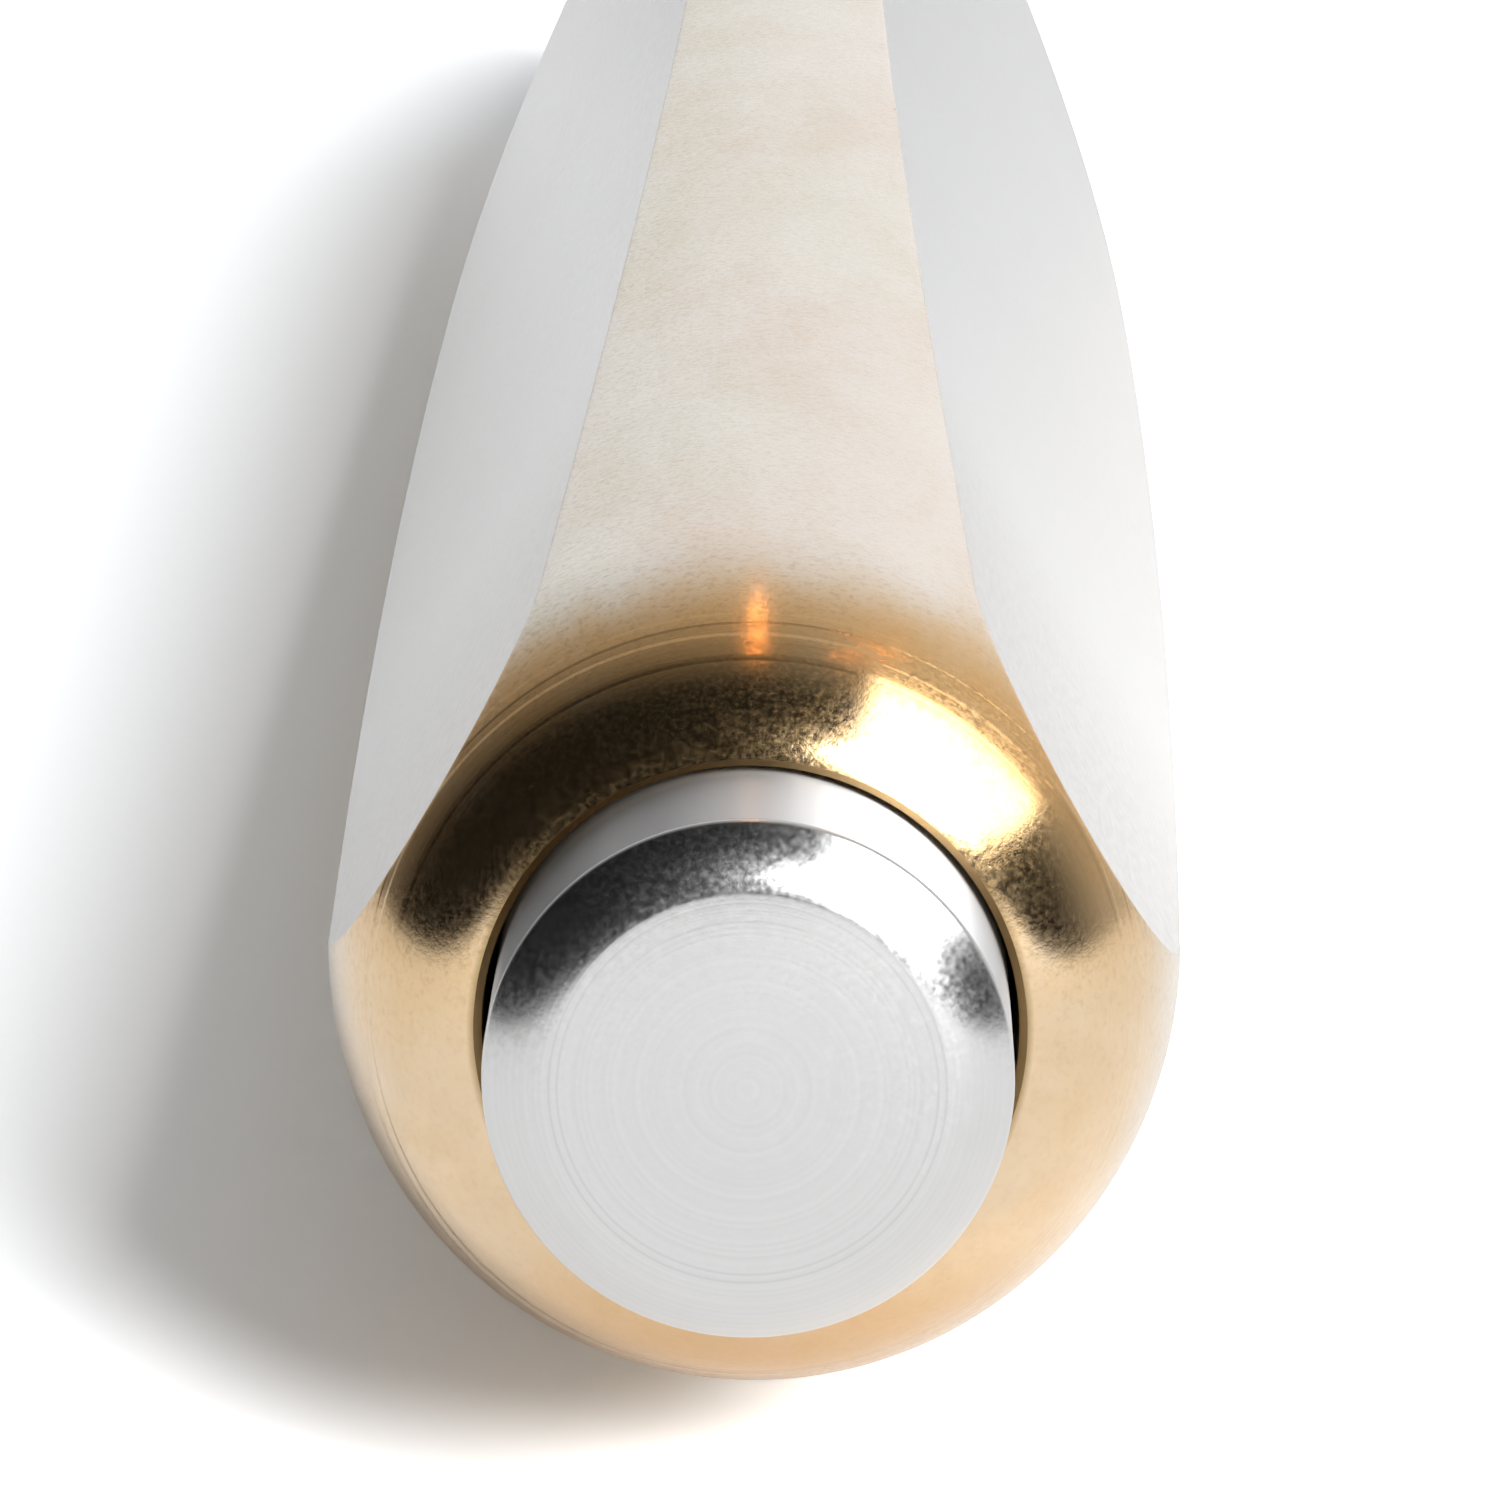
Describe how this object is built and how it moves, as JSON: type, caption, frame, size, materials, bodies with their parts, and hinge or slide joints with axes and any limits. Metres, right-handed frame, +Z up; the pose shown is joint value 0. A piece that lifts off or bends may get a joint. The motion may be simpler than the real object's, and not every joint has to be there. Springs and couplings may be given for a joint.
{
  "type": "ballpoint pen",
  "caption": "Click ballpoint pen: turned brass body that swells to a belly, long flats beside its top ridge, domed end with a chrome push button, and a nose cone that screws off.",
  "frame": {"origin": "middle of the bounding box's underside: under the pen's mid length, on the surface that its belly lies on", "axes": "+Y from the push button to the writing tip, +Z up through the ridge between the flats, +X to the right seen from the button"},
  "size_m": [0.0134, 0.1364, 0.0139],
  "materials": {
    "brass_body": "turned and polished bare brass with a light patina, the flats finer than the turned ends",
    "brass_parts": "plain turned brass",
    "chrome_button": "satin face with fine turning rings, polished edge",
    "steel": "bright stainless steel",
    "carbide": "polished carbide",
    "white_plastic": "moulded acetal",
    "black_plastic": "moulded acetal",
    "black_rubber": "nitrile rubber",
    "ink": "ink paste",
    "grease": "clear grease"
  },
  "bodies": {
    "body": {"barrel": "brass_body", "mechanism_tube": "brass_parts", "cam_track": "white_plastic", "retaining_bush": "brass_parts"},
    "button": {"push_button": "chrome_button", "plunger": "white_plastic"},
    "refill": {"rotor": "black_plastic", "refill_plug": "black_plastic", "refill_tube": "steel", "grease_follower": "grease", "ink_column": "ink", "refill_coupling": "brass_parts", "writing_point": "steel", "writing_ball": "carbide"},
    "seal": {"nose_seal": "black_rubber"},
    "nose": {"nose_cone": "brass_body", "refill_spring": "steel"}
  },
  "joints": [
    {"name": "button_slide", "type": "slide", "parent": "body", "child": "button", "axis": [0, 1, 0], "range_m": [-0.0048, 0.0012], "stiffness_N_per_m": 200},
    {"name": "refill_slide", "type": "slide", "parent": "body", "child": "refill", "axis": [0, 1, 0], "range_m": [-0.0048, 0.0012], "deforming": ["refill_spring"]},
    {"name": "nose_slide", "type": "slide", "parent": "body", "child": "seal", "axis": [0, 1, 0], "range_m": [0, 0.0085]},
    {"name": "nose_turn", "type": "hinge", "parent": "seal", "child": "nose", "pos_m": [0, 0.04181, 0.00695], "axis": [0, 1, 0], "range_deg": [-10, 4100]}
  ],
  "couplings": [
    {"joint": "refill_slide", "follows": "button_slide", "ratio": 1},
    {"joint": "nose_turn", "follows": "nose_slide", "rad_per_m": 8377.6}
  ]
}
